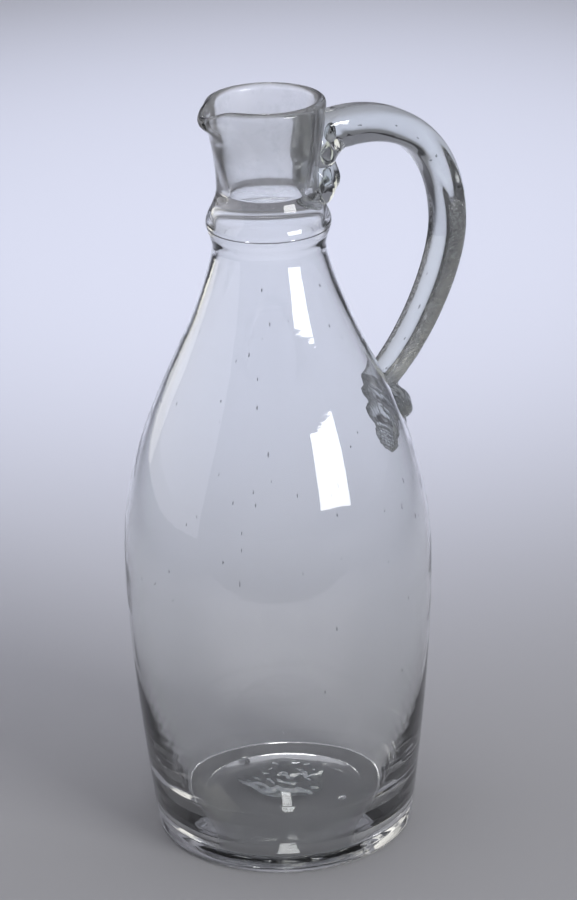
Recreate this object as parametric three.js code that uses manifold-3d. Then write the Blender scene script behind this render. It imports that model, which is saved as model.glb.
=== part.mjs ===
// A free-blown colourless glass cruet: a thick-footed bottle with a collared mouth,
// a pulled pouring lip, a ground bore and an applied strap handle.
// Millimetres, +Z up. Sizes are measured from the foot and from the vessel's axis.
import * as THREE from "three";
import { mergeVertices } from "three/addons/utils/BufferGeometryUtils.js";
import Module from "manifold-3d";

// Heights: the mouth stands on the lap, and the neck is narrowest a little below it
const MOUTH_HEIGHT = 190;
const MOUTH_LENGTH = 30.8;
const LAP_RISE = 5.6;
const LAP_HEIGHT = MOUTH_HEIGHT - MOUTH_LENGTH;
const NECK_HEIGHT = LAP_HEIGHT - LAP_RISE;

// Vessel, outside
const FOOT_RADIUS = 32.7;
const FOOT_ROUNDING = 1.5;
const FOOT_FLARE = 5.9;
const LOWER_WALL_RISE = 48;
const LOWER_BELLY_SWEEP = 2;
const BELLY_RADIUS = 38.1;
const BELLY_HEIGHT = 73;
const SHOULDER_SWEEP = 36.2;
const NECK_RADIUS = 13.6;
const NECK_SWEEP = 26.8;
const NECK_SLANT = 5.7;
const FLARE_START = 0.05;
const FLARE_END = 0.42;

// Vessel, walls and base
const BELLY_WALL = 0.9;
const NECK_WALL = 1.3;
const FLOOR_RADIUS = 27.2;
const FLOOR_HEIGHT = 3.3;
const FLOOR_CORNER = 0.6;
const HEEL_FLARE = 4;
const HEEL_RISE = 12;
const HEEL_SWEEP = 44;
const FLOOR_CROWN = 1.8;
const CROWN_SWEEP = 8.5;
const KICK_RADIUS = 22.5;
const KICK_HEIGHT = 2.2;
const KICK_FLAT = 12;
const KICK_FLANK = 6;
const KICK_SPRING = 1.4;

// Lap where the second gather of glass goes over the end of the neck
const LAP_RADIUS = 14.9;
const TONGUE_LENGTH = 2.8;
const TONGUE_WALL = 0.8;
const TONGUE_BORE_RADIUS = 13.5;

// Mouth: collar, waist, funnel and lip
const COLLAR_SWELL = 0.9;
const COLLAR_RISE = 2.6;
const WAIST_RADIUS = 12.2;
const WAIST_ABOVE_LAP = 9.8;
const COLLAR_SWEEP = 4.4;
const LIP_RADIUS = 14.3;
const LIP_ROUNDING = 1.3;
const LIP_FLARE = 0.5;
const FUNNEL_SWEEP = 9;
const BORE_TOP_RADIUS = 11.7;
const THROAT_RADIUS = 9.4;
const THROAT_ABOVE_LAP = 8.6;
const THROAT_SWEEP = 0.9;
const CHAMBER_SWEEP = 3.6;

// Pouring lip, opposite the handle
const SPOUT_REACH = 3.6;
const SPOUT_DIP = 1.7;
const SPOUT_DEPTH = 9;
const SPOUT_HALF_ANGLE = 0.3;

// Handle strap, in the plane through the axis: thickest at its root, widest in mid-run
const STRAP_WIDTH = 10.8;
const STRAP_END_WIDTH = 9.3;
const STRAP_THICKNESS = 9.9;
const STRAP_TAIL_THICKNESS = 5.2;
const STRAP_THINNING = 1.6;
const STRAP_SQUARENESS = 3.4;
const STRAP_START = 2.4;
const STRAP_TOP_DROP = 9.1;
const STRAP_TOP_DIP = 2.2;
const STRAP_TOP_LIFT = 2.2;
const HANDLE_REACH = 51.4;
const HANDLE_REACH_HEIGHT = 150.2;
const TAIL_HEIGHT = 107.4;
const LANDING_RISE = 3.9;
const LANDING_DEPTH = 1.4;

// How far the strap's bends carry along each of its two runs
const TOP_BEND = 0.7;
const REACH_BEND = 0.56;
const RUN_BEND = 0.34;
const LANDING_BEND = 0.42;
const LANDING_LIFT = 0.13;

// Handle root on the neck and crimped tail on the shoulder
const ROOT_WIDTH = 12;
const ROOT_HEIGHT = 12.5;
const ROOT_DEPTH = 6.8;
const ROOT_DROP = 2.9;
const ROOT_LUMP_WIDTH = 9.6;
const ROOT_LUMP_HEIGHT = 12.4;
const ROOT_LUMP_DEPTH = 7;
const ROOT_LUMP_SHARE = 0.835;
const ROOT_SINK = 0.9;
const TAIL_WIDTHS = [19, 14, 8.4];
const TAIL_LENGTHS = [9.6, 11, 8.2];
const TAIL_THICKNESS = [4.1, 3, 2.6];
const TAIL_SIDES = [-2.4, 0.6, 2.6];
const TAIL_PITCH = 6.2;
const TAIL_SINK = 0.9;

// Broken glass left in the kick by the holding rod
const SCAR_RADIUS = 11.5;
const SCAR_SHIFT_X = 3;
const SCAR_SHIFT_Y = 5;
const SCAR_THICKNESS = 1.5;
const SCAR_RAGGEDNESS = 0.07;
const SCAR_POINTS = 22;

// Colours, and how rough each finish is from 0 for polished to 1
const CLEAR_GLASS = 0xe9eef0;
const GROUND_GLASS = 0xe4e8ea;
const BROKEN_GLASS = 0xdde3e4;
const FIRE_POLISHED = 0.03;
const PARTLY_GROUND = 0.12;
const BROKEN_FINISH = 0.3;
const VIEW_OPACITY = 0.35;

const SEAT_GAP = 0.3;
const ROUND_STEPS = 48;
const STRAP_SIDES = 20;
const FACET_ALLOWANCE = 1 / Math.cos(Math.PI / ROUND_STEPS);

const wasm = await Module();
wasm.setup();

function point(radius, height) {
  return new THREE.Vector2(radius, height);
}

// A smooth stretch of outline that leaves and arrives in the directions of its two pulls
function sweep(from, fromPull, toPull, to, steps) {
  const pulledFrom = from.clone().add(fromPull);
  const pulledTo = to.clone().add(toPull);
  return new THREE.CubicBezierCurve(from, pulledFrom, pulledTo, to).getPoints(steps);
}

function quarterRound(centre, radius, startAngle, endAngle, steps) {
  return new THREE.EllipseCurve(
    centre.x,
    centre.y,
    radius,
    radius,
    startAngle,
    endAngle,
    endAngle < startAngle,
  ).getPoints(steps);
}

// Turned about the vertical axis, with one shared vertex where faces meet
function turned(outline) {
  const geometry = new THREE.LatheGeometry(outline, ROUND_STEPS).rotateX(Math.PI / 2);
  return weld(geometry);
}

function weld(geometry) {
  geometry.deleteAttribute("normal");
  geometry.deleteAttribute("uv");
  return mergeVertices(geometry, 1e-3);
}

function solidOf(geometry) {
  const welded = weld(geometry.clone());
  return new wasm.Manifold(
    new wasm.Mesh({
      numProp: 3,
      vertProperties: new Float32Array(welded.attributes.position.array),
      triVerts: new Uint32Array(welded.index.array),
    }),
  );
}

function geometryOf(solid) {
  const mesh = solid.getMesh();
  const geometry = new THREE.BufferGeometry();
  geometry.setAttribute("position", new THREE.BufferAttribute(mesh.vertProperties, 3));
  geometry.setIndex(new THREE.BufferAttribute(mesh.triVerts, 1));
  return geometry;
}

function glass(name, geometry, colour, roughness) {
  const shaded = geometry.clone();
  shaded.computeVertexNormals();
  const material = new THREE.MeshStandardMaterial({
    color: colour,
    roughness,
    metalness: 0,
    transparent: true,
    opacity: VIEW_OPACITY,
  });
  const mesh = new THREE.Mesh(shaded, material);
  mesh.name = name;
  return mesh;
}

// Outer outline of the bottle from the foot to the lap, grown outwards by a clearance
function bottleOutside(grown = 0) {
  const foot = point(FOOT_RADIUS + grown, FOOT_ROUNDING);
  const belly = point(BELLY_RADIUS + grown, BELLY_HEIGHT);
  const neck = point(NECK_RADIUS + grown, NECK_HEIGHT);
  const lap = point(LAP_RADIUS + grown, LAP_HEIGHT);
  const neckPull = point(NECK_SLANT, -NECK_SWEEP);
  const flarePull = neckPull.clone().multiplyScalar(-FLARE_START);
  const lapPull = neck.clone().sub(lap).multiplyScalar(FLARE_END);
  return [
    ...sweep(
      foot,
      point(FOOT_FLARE, LOWER_WALL_RISE),
      point(0, -LOWER_BELLY_SWEEP),
      belly,
      7,
    ),
    ...sweep(belly, point(0, SHOULDER_SWEEP), neckPull, neck, 11).slice(1),
    ...sweep(neck, flarePull, lapPull, lap, 4).slice(1),
  ];
}

// Inner outline of the bottle from the tongue down to the middle of the floor
function bottleInside() {
  const tongue = point(TONGUE_BORE_RADIUS, LAP_HEIGHT + TONGUE_LENGTH);
  const neck = point(NECK_RADIUS - NECK_WALL, NECK_HEIGHT);
  const belly = point(BELLY_RADIUS - BELLY_WALL, BELLY_HEIGHT);
  const heel = point(FLOOR_RADIUS, FLOOR_HEIGHT + FLOOR_CORNER);
  const floorEdge = point(FLOOR_RADIUS - FLOOR_CORNER, FLOOR_HEIGHT);
  const crown = point(0, FLOOR_HEIGHT + FLOOR_CROWN);
  const neckPull = point(NECK_SLANT, -NECK_SWEEP);
  const half = (tongue.y - neck.y) / 2;
  const corner = FLOOR_CORNER / 2;
  return [
    ...sweep(tongue, point(0, -half), point(0, half), neck, 5),
    ...sweep(neck, neckPull, point(0, SHOULDER_SWEEP), belly, 11).slice(1),
    ...sweep(belly, point(0, -HEEL_SWEEP), point(HEEL_FLARE, HEEL_RISE), heel, 10).slice(1),
    ...sweep(heel, point(0, -corner), point(corner, 0), floorEdge, 3).slice(1),
    ...sweep(floorEdge, point(-CROWN_SWEEP, 0), point(CROWN_SWEEP, 0), crown, 5).slice(1),
  ];
}

// The hollow pushed up under the base, lowered by a clearance
function kickOutline(lowered = 0) {
  const centre = point(0, KICK_HEIGHT - lowered);
  const edge = point(KICK_RADIUS, -lowered);
  return sweep(centre, point(KICK_FLAT, 0), point(-KICK_FLANK, KICK_SPRING), edge, 6);
}

function makeBody() {
  const corner = point(FOOT_RADIUS - FOOT_ROUNDING, FOOT_ROUNDING);
  const tongueRadius = TONGUE_BORE_RADIUS + TONGUE_WALL;
  const outline = [
    ...kickOutline(),
    ...quarterRound(corner, FOOT_ROUNDING, -Math.PI / 2, 0, 4),
    ...bottleOutside().slice(1),
    point(tongueRadius, LAP_HEIGHT),
    point(tongueRadius, LAP_HEIGHT + TONGUE_LENGTH),
    ...bottleInside(),
  ];
  return turned(outline);
}

// Outer outline of the mouth from the lap to the start of the rounded lip
function mouthOutside(grown = 0) {
  const lap = point(LAP_RADIUS + grown, LAP_HEIGHT + SEAT_GAP);
  const waist = point(WAIST_RADIUS + grown, LAP_HEIGHT + WAIST_ABOVE_LAP);
  const lip = point(LIP_RADIUS + grown, MOUTH_HEIGHT - LIP_ROUNDING);
  return [
    ...sweep(lap, point(COLLAR_SWELL, COLLAR_RISE), point(0, -COLLAR_SWEEP), waist, 8),
    ...sweep(waist, point(0, FUNNEL_SWEEP), point(-LIP_FLARE, -FUNNEL_SWEEP), lip, 8).slice(1),
  ];
}

// Draws the lip out into a narrow trough opposite the handle
function pullSpout(geometry) {
  const position = geometry.attributes.position;
  const foot = MOUTH_HEIGHT - SPOUT_DEPTH;
  for (let i = 0; i < position.count; i += 1) {
    const x = position.getX(i);
    const y = position.getY(i);
    const z = position.getZ(i);
    const rise = THREE.MathUtils.smoothstep(z, foot, MOUTH_HEIGHT - LIP_ROUNDING);
    const turn = Math.atan2(y, -x) / SPOUT_HALF_ANGLE;
    const pull = rise * Math.exp(-turn * turn);
    const radius = Math.hypot(x, y);
    const grow = (radius + SPOUT_REACH * pull) / radius;
    position.setXYZ(i, x * grow, y * grow, z - SPOUT_DIP * pull * pull);
  }
  return geometry;
}

function makeMouth() {
  const throatHeight = LAP_HEIGHT + THROAT_ABOVE_LAP;
  const throat = point(THROAT_RADIUS, throatHeight);
  const underThroat = point(TONGUE_BORE_RADIUS, LAP_HEIGHT + TONGUE_LENGTH + SEAT_GAP);
  const skirtRadius = TONGUE_BORE_RADIUS + TONGUE_WALL + SEAT_GAP;
  const lipMiddle = (LIP_RADIUS + BORE_TOP_RADIUS) / 2;
  const lipHalf = (LIP_RADIUS - BORE_TOP_RADIUS) / 2;
  const lip = new THREE.EllipseCurve(
    lipMiddle,
    MOUTH_HEIGHT - LIP_ROUNDING,
    lipHalf,
    LIP_ROUNDING,
    0,
    Math.PI,
  ).getPoints(6);
  const boreTop = lip[lip.length - 1];
  const boreMiddle = boreTop.clone().lerp(throat, 0.5);
  const outside = mouthOutside();
  const outline = [
    ...outside,
    ...lip.slice(1),
    boreMiddle,
    ...sweep(throat, point(0, -THROAT_SWEEP), point(0, CHAMBER_SWEEP), underThroat, 6),
    point(skirtRadius, underThroat.y),
    point(skirtRadius, LAP_HEIGHT + SEAT_GAP),
    outside[0].clone(),
  ];
  return pullSpout(turned(outline));
}

// Everything that the handle's glass rests on, solid and grown by the seat gap
function makeSeat() {
  const grown = SEAT_GAP * FACET_ALLOWANCE;
  const outline = [
    point(0, 0),
    point(FOOT_RADIUS, 0),
    ...bottleOutside(grown),
    ...mouthOutside(grown),
    point(LIP_RADIUS + grown, MOUTH_HEIGHT),
    point(0, MOUTH_HEIGHT),
  ];
  return solidOf(turned(outline));
}

// Outside radius of the bottle at a height, from its own outline
function shoulderRadius(height) {
  const outline = bottleOutside();
  const above = outline.findIndex((p) => p.y >= height);
  const low = outline[above - 1];
  const high = outline[above];
  const share = (height - low.y) / (high.y - low.y);
  return THREE.MathUtils.lerp(low.x, high.x, share);
}

// Middle line of the strap: out of the root and over to its widest reach, then down
function strapLine() {
  const top = MOUTH_HEIGHT - STRAP_TOP_DROP;
  const start = new THREE.Vector3(WAIST_RADIUS + STRAP_START, 0, top - STRAP_TOP_DIP);
  const widest = new THREE.Vector3(HANDLE_REACH, 0, HANDLE_REACH_HEIGHT);
  const landingHeight = TAIL_HEIGHT + LANDING_RISE;
  const landingRadius = shoulderRadius(landingHeight) - LANDING_DEPTH;
  const landing = new THREE.Vector3(landingRadius, 0, landingHeight);
  const over = widest.clone().sub(start);
  const down = landing.clone().sub(widest);
  const line = new THREE.CurvePath();
  line.add(
    new THREE.CubicBezierCurve3(
      start,
      new THREE.Vector3(start.x + over.x * TOP_BEND, 0, top + STRAP_TOP_LIFT),
      new THREE.Vector3(widest.x, 0, THREE.MathUtils.lerp(widest.z, top, REACH_BEND)),
      widest,
    ),
  );
  line.add(
    new THREE.CubicBezierCurve3(
      widest,
      new THREE.Vector3(widest.x, 0, widest.z + down.z * RUN_BEND),
      new THREE.Vector3(landing.x - down.x * LANDING_BEND, 0, landing.z - down.z * LANDING_LIFT),
      landing,
    ),
  );
  return line;
}

// A squarish oval, flattened on its four sides
function strapSection() {
  const rim = [];
  for (let i = 0; i < STRAP_SIDES; i += 1) {
    const angle = (i / STRAP_SIDES) * Math.PI * 2;
    rim.push(point(squared(Math.cos(angle), STRAP_WIDTH), squared(Math.sin(angle), STRAP_THICKNESS)));
  }
  return new THREE.Shape(rim);
}

function squared(share, size) {
  return (Math.sign(share) * Math.abs(share) ** (2 / STRAP_SQUARENESS) * size) / 2;
}

// Each ring of the strap is drawn in about the middle line, in its own two directions
function taper(geometry, line, steps) {
  const centres = line.getSpacedPoints(steps);
  const position = geometry.attributes.position;
  const vertex = new THREE.Vector3();
  for (let i = 0; i < position.count; i += 1) {
    vertex.fromBufferAttribute(position, i);
    const flat = new THREE.Vector3(vertex.x, 0, vertex.z);
    let nearest = 0;
    centres.forEach((centre, ring) => {
      if (centre.distanceTo(flat) < centres[nearest].distanceTo(flat)) nearest = ring;
    });
    const along = nearest / steps;
    const thinned = 1 - (1 - along) ** STRAP_THINNING;
    const thickness = THREE.MathUtils.lerp(STRAP_THICKNESS, STRAP_TAIL_THICKNESS, thinned);
    const width = THREE.MathUtils.lerp(STRAP_END_WIDTH, STRAP_WIDTH, Math.sin(Math.PI * along));
    const centre = centres[nearest];
    flat.sub(centre).multiplyScalar(thickness / STRAP_THICKNESS).add(centre);
    position.setXYZ(i, flat.x, (vertex.y * width) / STRAP_WIDTH, flat.z);
  }
  return geometry;
}

function makeStrap() {
  const line = strapLine();
  const steps = 40;
  const bar = new THREE.ExtrudeGeometry(strapSection(), {
    extrudePath: line,
    steps,
  });
  return solidOf(taper(bar, line, steps));
}

// A pressed lobe of glass: radius, side and height of its middle, then its three sizes
function lobe(middle, depth, width, tall) {
  const ball = new THREE.SphereGeometry(1, 18, 10);
  ball.scale(depth, width / 2, tall / 2);
  ball.translate(middle.x, middle.y, middle.z);
  return solidOf(ball);
}

// A pad where the strap meets the mouth, with a lump that runs out of its lower end
function makeRoot() {
  const radius = WAIST_RADIUS + ROOT_SINK;
  const padMiddle = new THREE.Vector3(radius, 0, MOUTH_HEIGHT - STRAP_TOP_DROP - ROOT_DROP);
  const lumpDrop = ((ROOT_HEIGHT + ROOT_LUMP_HEIGHT) / 2) * ROOT_LUMP_SHARE;
  const lumpMiddle = new THREE.Vector3(radius, 0, padMiddle.z - lumpDrop);
  const pad = lobe(padMiddle, ROOT_DEPTH, ROOT_WIDTH, ROOT_HEIGHT);
  const lump = lobe(lumpMiddle, ROOT_LUMP_DEPTH, ROOT_LUMP_WIDTH, ROOT_LUMP_HEIGHT);
  return pad.add(lump);
}

// Three pressed lobes, each narrower, thinner and further to one side than the one above
function makeTail() {
  return TAIL_WIDTHS.map((width, i) => {
    const height = TAIL_HEIGHT - i * TAIL_PITCH;
    const radius = shoulderRadius(height) - TAIL_SINK;
    const middle = new THREE.Vector3(radius, TAIL_SIDES[i], height);
    return lobe(middle, TAIL_THICKNESS[i] + TAIL_SINK, width, TAIL_LENGTHS[i]);
  }).reduce((joined, next) => joined.add(next));
}

function makeHandle() {
  const whole = makeStrap().add(makeRoot()).add(makeTail());
  return geometryOf(whole.subtract(makeSeat()));
}

// A low ragged disc that hangs in the kick, off its middle and clear of the ground
function makeScar() {
  const rim = [];
  for (let i = 0; i < SCAR_POINTS; i += 1) {
    const angle = (i / SCAR_POINTS) * Math.PI * 2;
    const ragged = 1 + SCAR_RAGGEDNESS * (Math.sin(3 * angle) + Math.cos(5 * angle));
    const radius = SCAR_RADIUS * ragged;
    rim.push(point(radius * Math.cos(angle), radius * Math.sin(angle)));
  }
  const plate = new THREE.ExtrudeGeometry(new THREE.Shape(rim), {
    depth: SCAR_THICKNESS * 2,
    bevelEnabled: false,
  });
  plate.translate(SCAR_SHIFT_X, SCAR_SHIFT_Y, KICK_HEIGHT - SEAT_GAP - SCAR_THICKNESS);
  const glassAbove = turned([
    ...kickOutline(SEAT_GAP),
    point(KICK_RADIUS, KICK_HEIGHT * 3),
    point(0, KICK_HEIGHT * 3),
  ]);
  return geometryOf(solidOf(plate).subtract(solidOf(glassAbove)));
}

const cruet = new THREE.Group();
cruet.add(glass("body", makeBody(), CLEAR_GLASS, FIRE_POLISHED));
cruet.add(glass("mouth", makeMouth(), GROUND_GLASS, PARTLY_GROUND));
cruet.add(glass("handle", makeHandle(), CLEAR_GLASS, FIRE_POLISHED));
cruet.add(glass("pontil_scar", makeScar(), BROKEN_GLASS, BROKEN_FINISH));

// The origin is under the middle of the whole cruet's footprint box
const footprint = new THREE.Box3().setFromObject(cruet).getCenter(new THREE.Vector3());
cruet.position.set(-footprint.x, -footprint.y, 0);

export default cruet;
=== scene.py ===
# A free-blown table cruet of clear glass: a thick-footed bottle, a mouth added as a second
# gather with its bore ground for a stopper, a pulled strap handle crimped to the shoulder,
# and the broken scar of the holding rod in the kick under the base.
import math
import random
import bpy
from mathutils import Matrix, Quaternion, Vector, noise


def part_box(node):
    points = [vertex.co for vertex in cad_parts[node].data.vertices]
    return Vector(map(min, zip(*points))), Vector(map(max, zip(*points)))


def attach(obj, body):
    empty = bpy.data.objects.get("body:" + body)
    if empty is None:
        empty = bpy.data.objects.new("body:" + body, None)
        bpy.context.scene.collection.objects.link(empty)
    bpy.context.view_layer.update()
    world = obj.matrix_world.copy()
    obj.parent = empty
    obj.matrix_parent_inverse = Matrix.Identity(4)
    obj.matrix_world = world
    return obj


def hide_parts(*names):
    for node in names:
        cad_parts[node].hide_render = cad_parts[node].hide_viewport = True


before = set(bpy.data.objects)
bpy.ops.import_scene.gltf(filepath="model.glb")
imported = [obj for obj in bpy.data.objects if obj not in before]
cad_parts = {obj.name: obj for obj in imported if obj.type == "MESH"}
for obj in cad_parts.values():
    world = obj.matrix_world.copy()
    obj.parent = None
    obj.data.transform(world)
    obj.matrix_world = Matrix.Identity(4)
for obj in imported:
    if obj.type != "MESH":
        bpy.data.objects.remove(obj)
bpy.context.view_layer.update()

MM = 0.001
body_low, body_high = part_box("body")
AXIS_X = (body_low.x + body_high.x) / 2
AXIS_Y = (body_low.y + body_high.y) / 2

# Lengths are in millimetres up to the studio; first the heights above the foot
MOUTH_HEIGHT = (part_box("mouth")[1].z - body_low.z) / MM
MOUTH_LENGTH = 30.8
LAP_RISE = 5.6
LAP_HEIGHT = MOUTH_HEIGHT - MOUTH_LENGTH
NECK_HEIGHT = LAP_HEIGHT - LAP_RISE

# Bottle, outside
FOOT_RADIUS = 32.7
FOOT_ROUNDING = 1.5
FOOT_FLARE = 5.9
LOWER_WALL_RISE = 48
LOWER_BELLY_SWEEP = 2
BELLY_RADIUS = (body_high.x - body_low.x) / 2 / MM
BELLY_HEIGHT = 73
SHOULDER_SWEEP = 36.2
NECK_RADIUS = 13.6
NECK_SWEEP = 26.8
NECK_SLANT = 5.7
FLARE_START = 0.05
FLARE_END = 0.42

# Bottle, walls and base
BELLY_WALL = 0.9
NECK_WALL = 1.3
FLOOR_RADIUS = 27.2
FLOOR_HEIGHT = 3.3
FLOOR_CORNER = 0.6
HEEL_FLARE = 4
HEEL_RISE = 12
HEEL_SWEEP = 44
FLOOR_CROWN = 1.8
CROWN_SWEEP = 8.5
KICK_RADIUS = 22.5
KICK_HEIGHT = 2.2
KICK_FLAT = 12
KICK_FLANK = 6
KICK_SPRING = 1.4

# Rings left inside the thick lower wall, strongest towards RING_TURN degrees and opposite,
# seeds in the glass, and one blister in the base
RING_PITCH = 3.4
RING_HEIGHT = 0.022
RING_RANGE = (8, 13, 30, 42)
RING_SKIN = 0.3
RING_TURN = -31
RING_FLANK_POWER = 4
RING_WANDER = 3
RING_WANDER_SPANS = (9, 14)
RING_UNEVENNESS = (0.7, 0.6)
RING_UNEVEN_SPANS = (14, 4)
RING_UNEVEN_SHIFT = 7
SEED_COUNT = 70
SEED_SEED = 11
SEED_LOWEST = 48
SEED_BELOW_NECK = 4
SEED_DEPTHS = (0.35, 0.55)
SEED_WIDTHS = (0.08, 0.17)
SEED_STRETCH = (2, 5)
BLISTER_PLACE = (9.3, -14.4, 3.3)
BLISTER_SIZE = (1.3, 1.0, 0.8)

# Mouth, from the lap to the lip
LAP_RADIUS = 14.9
LAP_BORE_RADIUS = 13.5
LAP_OVERLAP = 0.15
COLLAR_SWELL = 0.9
COLLAR_RISE = 2.6
COLLAR_SWEEP = 4.4
WAIST_RADIUS = 12.2
WAIST_ABOVE_LAP = 9.8
LIP_RADIUS = 14.3
LIP_ROUNDING = 1.3
LIP_FLARE = 0.5
FUNNEL_SWEEP = 9
BORE_TOP_RADIUS = 11.7
THROAT_RADIUS = 9.4
THROAT_ABOVE_LAP = 8.6
THROAT_SWEEP = 0.9
CHAMBER_SWEEP = 3.6
CHAMBER_RISE = 1
LAP_ROUNDING = 0.5

# Pouring lip, opposite the handle
SPOUT_REACH = 3.6
SPOUT_DIP = 1.7
SPOUT_DEPTH = 9
SPOUT_HALF_ANGLE = 0.3

# Strap handle
STRAP_WIDTH = 10.8
STRAP_END_WIDTH = 9.3
STRAP_THICKNESS = 9.9
STRAP_TAIL_THICKNESS = 5.2
STRAP_THINNING = 1.6
STRAP_SQUARENESS = 3.4
STRAP_START = 2.4
STRAP_TOP_DROP = 9.1
STRAP_TOP_DIP = 2.2
STRAP_TOP_LIFT = 2.2
HANDLE_REACH = 51.4
HANDLE_REACH_HEIGHT = 150.2
TAIL_HEIGHT = 107.4
LANDING_RISE = 3.9
LANDING_DEPTH = 1.4
TOP_BEND = 0.7
REACH_BEND = 0.56
RUN_BEND = 0.34
LANDING_BEND = 0.42
LANDING_LIFT = 0.13

# Root of the handle on the mouth, and its crimped tail on the shoulder
ROOT_WIDTH = 12
ROOT_HEIGHT = 15
ROOT_DEPTH = 6.8
ROOT_DROP = 4.2
ROOT_LUMP_WIDTH = 9.6
ROOT_LUMP_HEIGHT = 15
ROOT_LUMP_DEPTH = 6.3
ROOT_LUMP_SHARE = 0.6
WEB_OUT = 3.2
WEB_DROP = 4.4
WEB_SIZES = (6, 9.4, 9)
ROOT_SINK = 0.9
TAIL_WIDTHS = (19, 14, 8.4)
TAIL_LENGTHS = (9.6, 11, 8.2)
TAIL_THICKNESS = (4.1, 3, 2.6)
TAIL_PLACES = (-2.4, 0.6, 2.6)
TAIL_PITCH = 6.2
TAIL_SINK = 0.9
SEAT_DEPTH = 0.15

# Where the handle's lumps have run together smoothly: spans of radius or height over which
# the smoothing fades, and its strength
ROOT_JOIN_RADII = (21, 27)
ROOT_JOIN_FOOT = (156, 160)
LANDING_JOIN_FOOT = (104, 108)
LANDING_JOIN_TOP = (115, 118)
LANDING_JOIN = 0.6
TAIL_JOIN_TOP = (106, 110)
TAIL_JOIN = 0.8

# Folds pressed into the root and the tail: where they fade, their depth, and the shares of swell
# and crease in it; then the crossed marks of the tool at the tail's tip
ROOT_FOLD_RADII = (19, 24)
ROOT_FOLD_FOOT = (150, 156)
ROOT_FOLD_TOP = (177, 183)
TAIL_FOLD_TOP = (109, 114)
FOLD_SPANS = (6, 4, 6)
CREASE_SHARE = 0.12
ROOT_FOLDS = 0.8
ROOT_FOLD_SHARES = (0.9, 0.12)
TAIL_FOLDS = 0.45
TAIL_FOLD_SHARES = (1.5, 0.3)
TIP_TOP = (96.5, 99.5)
TIP_FLATTENING = 0.6
TIP_MARK_PITCH = 1.9
TIP_MARK_DEPTH = 0.22

# Folds of air shut in where the root was stuck down: middle, half sizes, turn and lean in radians
TRAPPED_FOLDS = (
    ((15.6, -2.2, 179.2), (0.35, 1.9, 2.6), -1.33, 0.25),
    ((15.6, 0.6, 174.6), (0.35, 1.8, 2.4), -1.1, 0.1),
    ((14.9, -1.4, 168.8), (0.3, 1.3, 2.4), -1.45, -0.1),
    ((15.2, 1.6, 165.8), (0.3, 1.1, 1.8), -1.2, 0.2),
)

# Seeds drawn out in the strap
STRAP_SEED_COUNT = 12
STRAP_SEED_SEED = 4
PLACES_PER_SEED = 3
STRAP_SEED_SPREAD = (1.2, 3)
STRAP_SEED_WIDTHS = (0.1, 0.18)
STRAP_SEED_STRETCH = (2, 4)

# Scar of the holding rod
SCAR_RADIUS = 11.5
SCAR_PLACE = (3, 5)
SCAR_CLEARANCE = 0.3
SCAR_THICKNESS = 1.5
SCAR_RAGGEDNESS = 0.07
SCAR_EDGE_LOBES = (3, 5)
SCAR_EDGE = 0.12
SCAR_THINNEST = 0.02
SCAR_EVEN_SHARE = 0.75
SCAR_SWIRL_SHARE = 0.7
SCAR_FOLD_SHARE = 0.9
SCAR_GRAIN_SHARE = 0.12
SCAR_FOLD_SPANS = (3.1, 4.3)
SCAR_SWIRL_SPAN = 6.5
SCAR_SWIRL_SHIFT = 4
SCAR_GRAIN_SPAN = 1.3
SCAR_NOISE_LAYERS = (2.7, 1.3, 5.1)

# Fineness of the meshes
ROUND_STEPS = 192
WALL_POINTS = 30
SHOULDER_POINTS = 44
NECK_POINTS = 10
HEEL_POINTS = 120
CORNER_POINTS = 8
FLOOR_POINTS = 16
KICK_POINTS = 18
COLLAR_POINTS = 24
FUNNEL_POINTS = 26
LIP_POINTS = 16
BORE_POINTS = 14
LAP_POINTS = 6
BUBBLE_STEPS = (16, 10)
LOBE_STEPS = (64, 40)
SECTION_POINTS = 72
STRAP_RINGS = 220
STRAP_LINE_STEPS = 400
HANDLE_VOXEL = 0.3
SMOOTHING = 0.5
SKIN_ROUNDS = 8
JOIN_ROUNDS = 46
SCAR_POINTS = 120
SCAR_ROWS = 30
SCAR_CENTRE = 0.01
SHARED_POINT = 0.0001
MERGE_DISTANCE = 0.002
SMOOTH_ANGLE = math.radians(40)


# Outlines, as points of radius and height

def curve_point(controls, t):
    """A place on a smooth curve, from its start, two pulls and end."""
    s = 1 - t
    shares = (s ** 3, 3 * s * s * t, 3 * s * t * t, t ** 3)
    return tuple(sum(shares[k] * controls[k][i] for k in range(4)) for i in (0, 1))


def sweep(start, start_pull, end_pull, end, steps):
    """A smooth stretch of outline that leaves and arrives along its two pulls."""
    near = (start[0] + start_pull[0], start[1] + start_pull[1])
    far = (end[0] + end_pull[0], end[1] + end_pull[1])
    return [curve_point((start, near, far, end), i / steps) for i in range(steps + 1)]


def ellipse_arc(centre, radii, start, end, steps):
    points = []
    for i in range(steps + 1):
        angle = start + (end - start) * i / steps
        points.append((centre[0] + radii[0] * math.cos(angle), centre[1] + radii[1] * math.sin(angle)))
    return points


def joined(*stretches):
    """Stretches of outline end to end, without the points that they share."""
    points = []
    for stretch in stretches:
        for point in stretch:
            if not points or math.dist(points[-1], point) > SHARED_POINT:
                points.append(point)
    return points


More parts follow.
